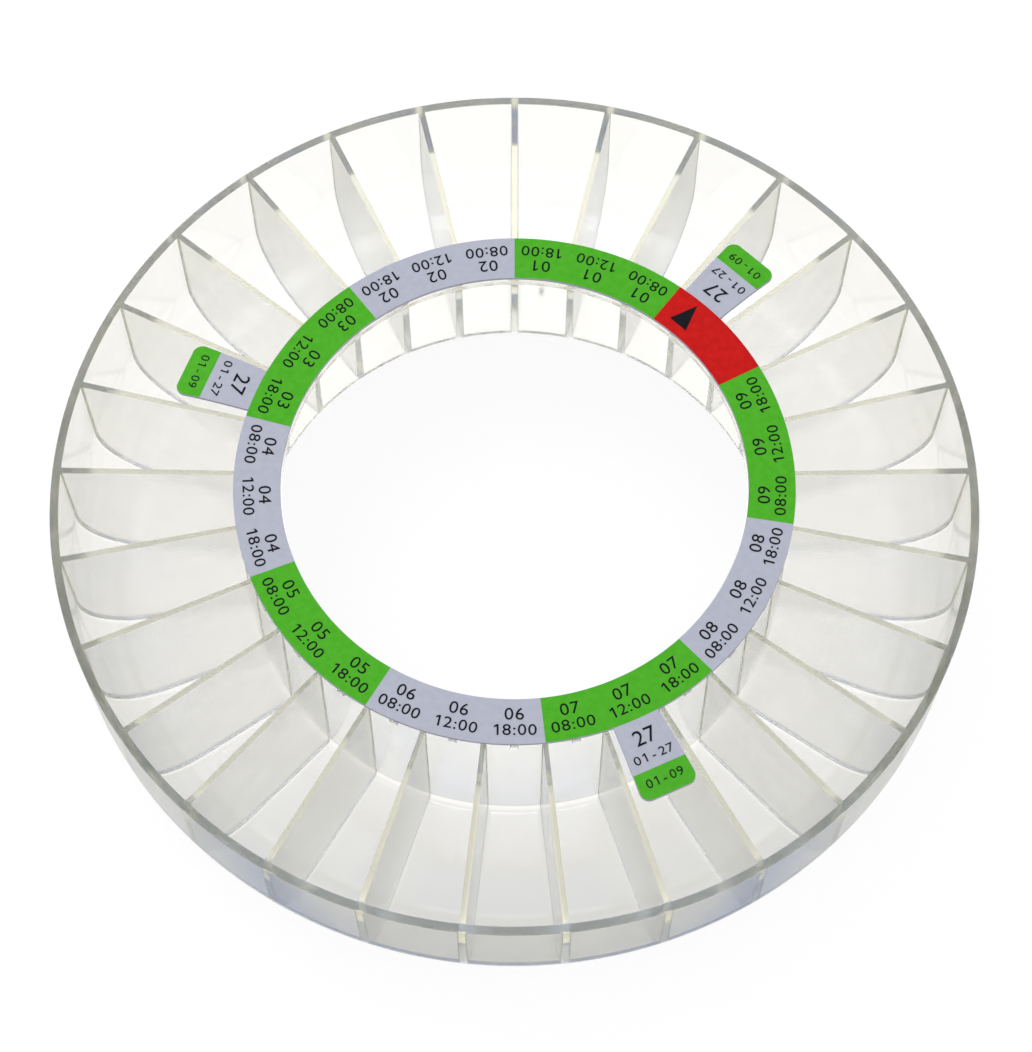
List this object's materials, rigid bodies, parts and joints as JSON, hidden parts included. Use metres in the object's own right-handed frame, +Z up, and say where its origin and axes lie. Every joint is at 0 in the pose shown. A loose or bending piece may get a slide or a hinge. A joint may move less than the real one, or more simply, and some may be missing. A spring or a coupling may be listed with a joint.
{
  "type": "pill dispenser tray",
  "caption": "Round clear tray of an automatic pill dispenser: a ring of wedge-shaped compartments round an open hub that carries a flat printed dose ring with tabs.",
  "frame": {"origin": "centre of the tray's underside, on its axis", "axes": "+Z up along the tray's axis, +Y to the back of the pictured view, +X to its right"},
  "size_m": [0.178, 0.178, 0.0373],
  "materials": {
    "clear_plastic": "clear moulded plastic with a slight milky haze, smooth",
    "ring_white": "white printed plastic sheet with a faint blue tone, satin",
    "ring_green": "green print, satin",
    "ring_red": "red print, satin",
    "ring_ink": "black print"
  },
  "bodies": {
    "tray": {"tray_outer_wall": "clear_plastic", "tray_round_corner": "clear_plastic", "tray_floor": "clear_plastic", "tray_hub_wall": "clear_plastic", "tray_hub_flange": "clear_plastic", "divider_01": "clear_plastic", "divider_02": "clear_plastic", "divider_03": "clear_plastic", "divider_04": "clear_plastic", "divider_05": "clear_plastic", "divider_06": "clear_plastic", "divider_07": "clear_plastic", "divider_08": "clear_plastic", "divider_09": "clear_plastic", "divider_10": "clear_plastic", "divider_11": "clear_plastic", "divider_12": "clear_plastic", "divider_13": "clear_plastic", "divider_14": "clear_plastic", "divider_15": "clear_plastic", "divider_16": "clear_plastic", "divider_17": "clear_plastic", "divider_18": "clear_plastic", "divider_19": "clear_plastic", "divider_20": "clear_plastic", "divider_21": "clear_plastic", "divider_22": "clear_plastic", "divider_23": "clear_plastic", "divider_24": "clear_plastic", "divider_25": "clear_plastic", "divider_26": "clear_plastic", "divider_27": "clear_plastic", "divider_28": "clear_plastic", "divider_29": "clear_plastic"},
    "dose_ring": {"dose_ring": "ring_white"}
  },
  "joints": [
    {"name": "ring_lift", "type": "slide", "parent": "tray", "child": "dose_ring", "axis": [0, 0, 1], "range_m": [0, 0.03]}
  ]
}
